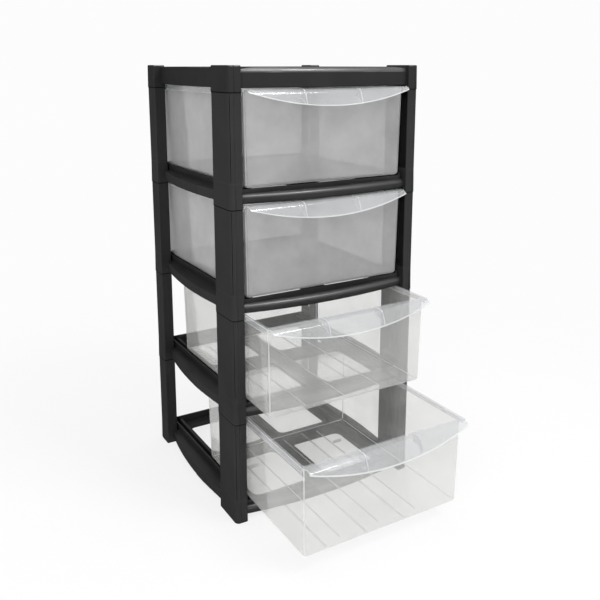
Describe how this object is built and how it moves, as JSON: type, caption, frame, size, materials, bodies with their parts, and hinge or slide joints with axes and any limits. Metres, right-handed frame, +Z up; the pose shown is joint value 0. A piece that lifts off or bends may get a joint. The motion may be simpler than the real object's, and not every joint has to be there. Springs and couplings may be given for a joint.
{
  "type": "drawer storage tower",
  "caption": "Free-standing storage tower of clear sliding drawers in a black moulded frame of open shelves, uprights and a closed top.",
  "frame": {"origin": "on the floor, at the centre of the frame's footprint between the four feet", "axes": "+Z up, +X to the right of a person facing the drawers, -Y the way the drawers open"},
  "size_m": [0.3926, 0.6065, 0.82],
  "materials": {
    "frame_black": "satin moulded polypropylene",
    "drawer_clear": "clear, slightly milky polypropylene"
  },
  "bodies": {
    "frame": {"bottom_shelf": "frame_black", "shelf_2": "frame_black", "shelf_3": "frame_black", "shelf_4": "frame_black", "top_frame": "frame_black", "upright_1_front_left": "frame_black", "upright_1_front_right": "frame_black", "upright_1_rear_left": "frame_black", "upright_1_rear_right": "frame_black", "upright_2_front_left": "frame_black", "upright_2_front_right": "frame_black", "upright_2_rear_left": "frame_black", "upright_2_rear_right": "frame_black", "upright_3_front_left": "frame_black", "upright_3_front_right": "frame_black", "upright_3_rear_left": "frame_black", "upright_3_rear_right": "frame_black", "upright_4_front_left": "frame_black", "upright_4_front_right": "frame_black", "upright_4_rear_left": "frame_black", "upright_4_rear_right": "frame_black"},
    "drawer_1": {"drawer_1": "drawer_clear"},
    "drawer_2": {"drawer_2": "drawer_clear"},
    "drawer_3": {"drawer_3": "drawer_clear"},
    "drawer_4": {"drawer_4": "drawer_clear"}
  },
  "joints": [
    {"name": "drawer_1_slide", "type": "slide", "parent": "frame", "child": "drawer_1", "axis": [0, -1, 0], "range_m": [-0.194, 0.096]},
    {"name": "drawer_2_slide", "type": "slide", "parent": "frame", "child": "drawer_2", "axis": [0, -1, 0], "range_m": [-0.079, 0.211]},
    {"name": "drawer_3_slide", "type": "slide", "parent": "frame", "child": "drawer_3", "axis": [0, -1, 0], "range_m": [0, 0.29]},
    {"name": "drawer_4_slide", "type": "slide", "parent": "frame", "child": "drawer_4", "axis": [0, -1, 0], "range_m": [0, 0.29]}
  ]
}
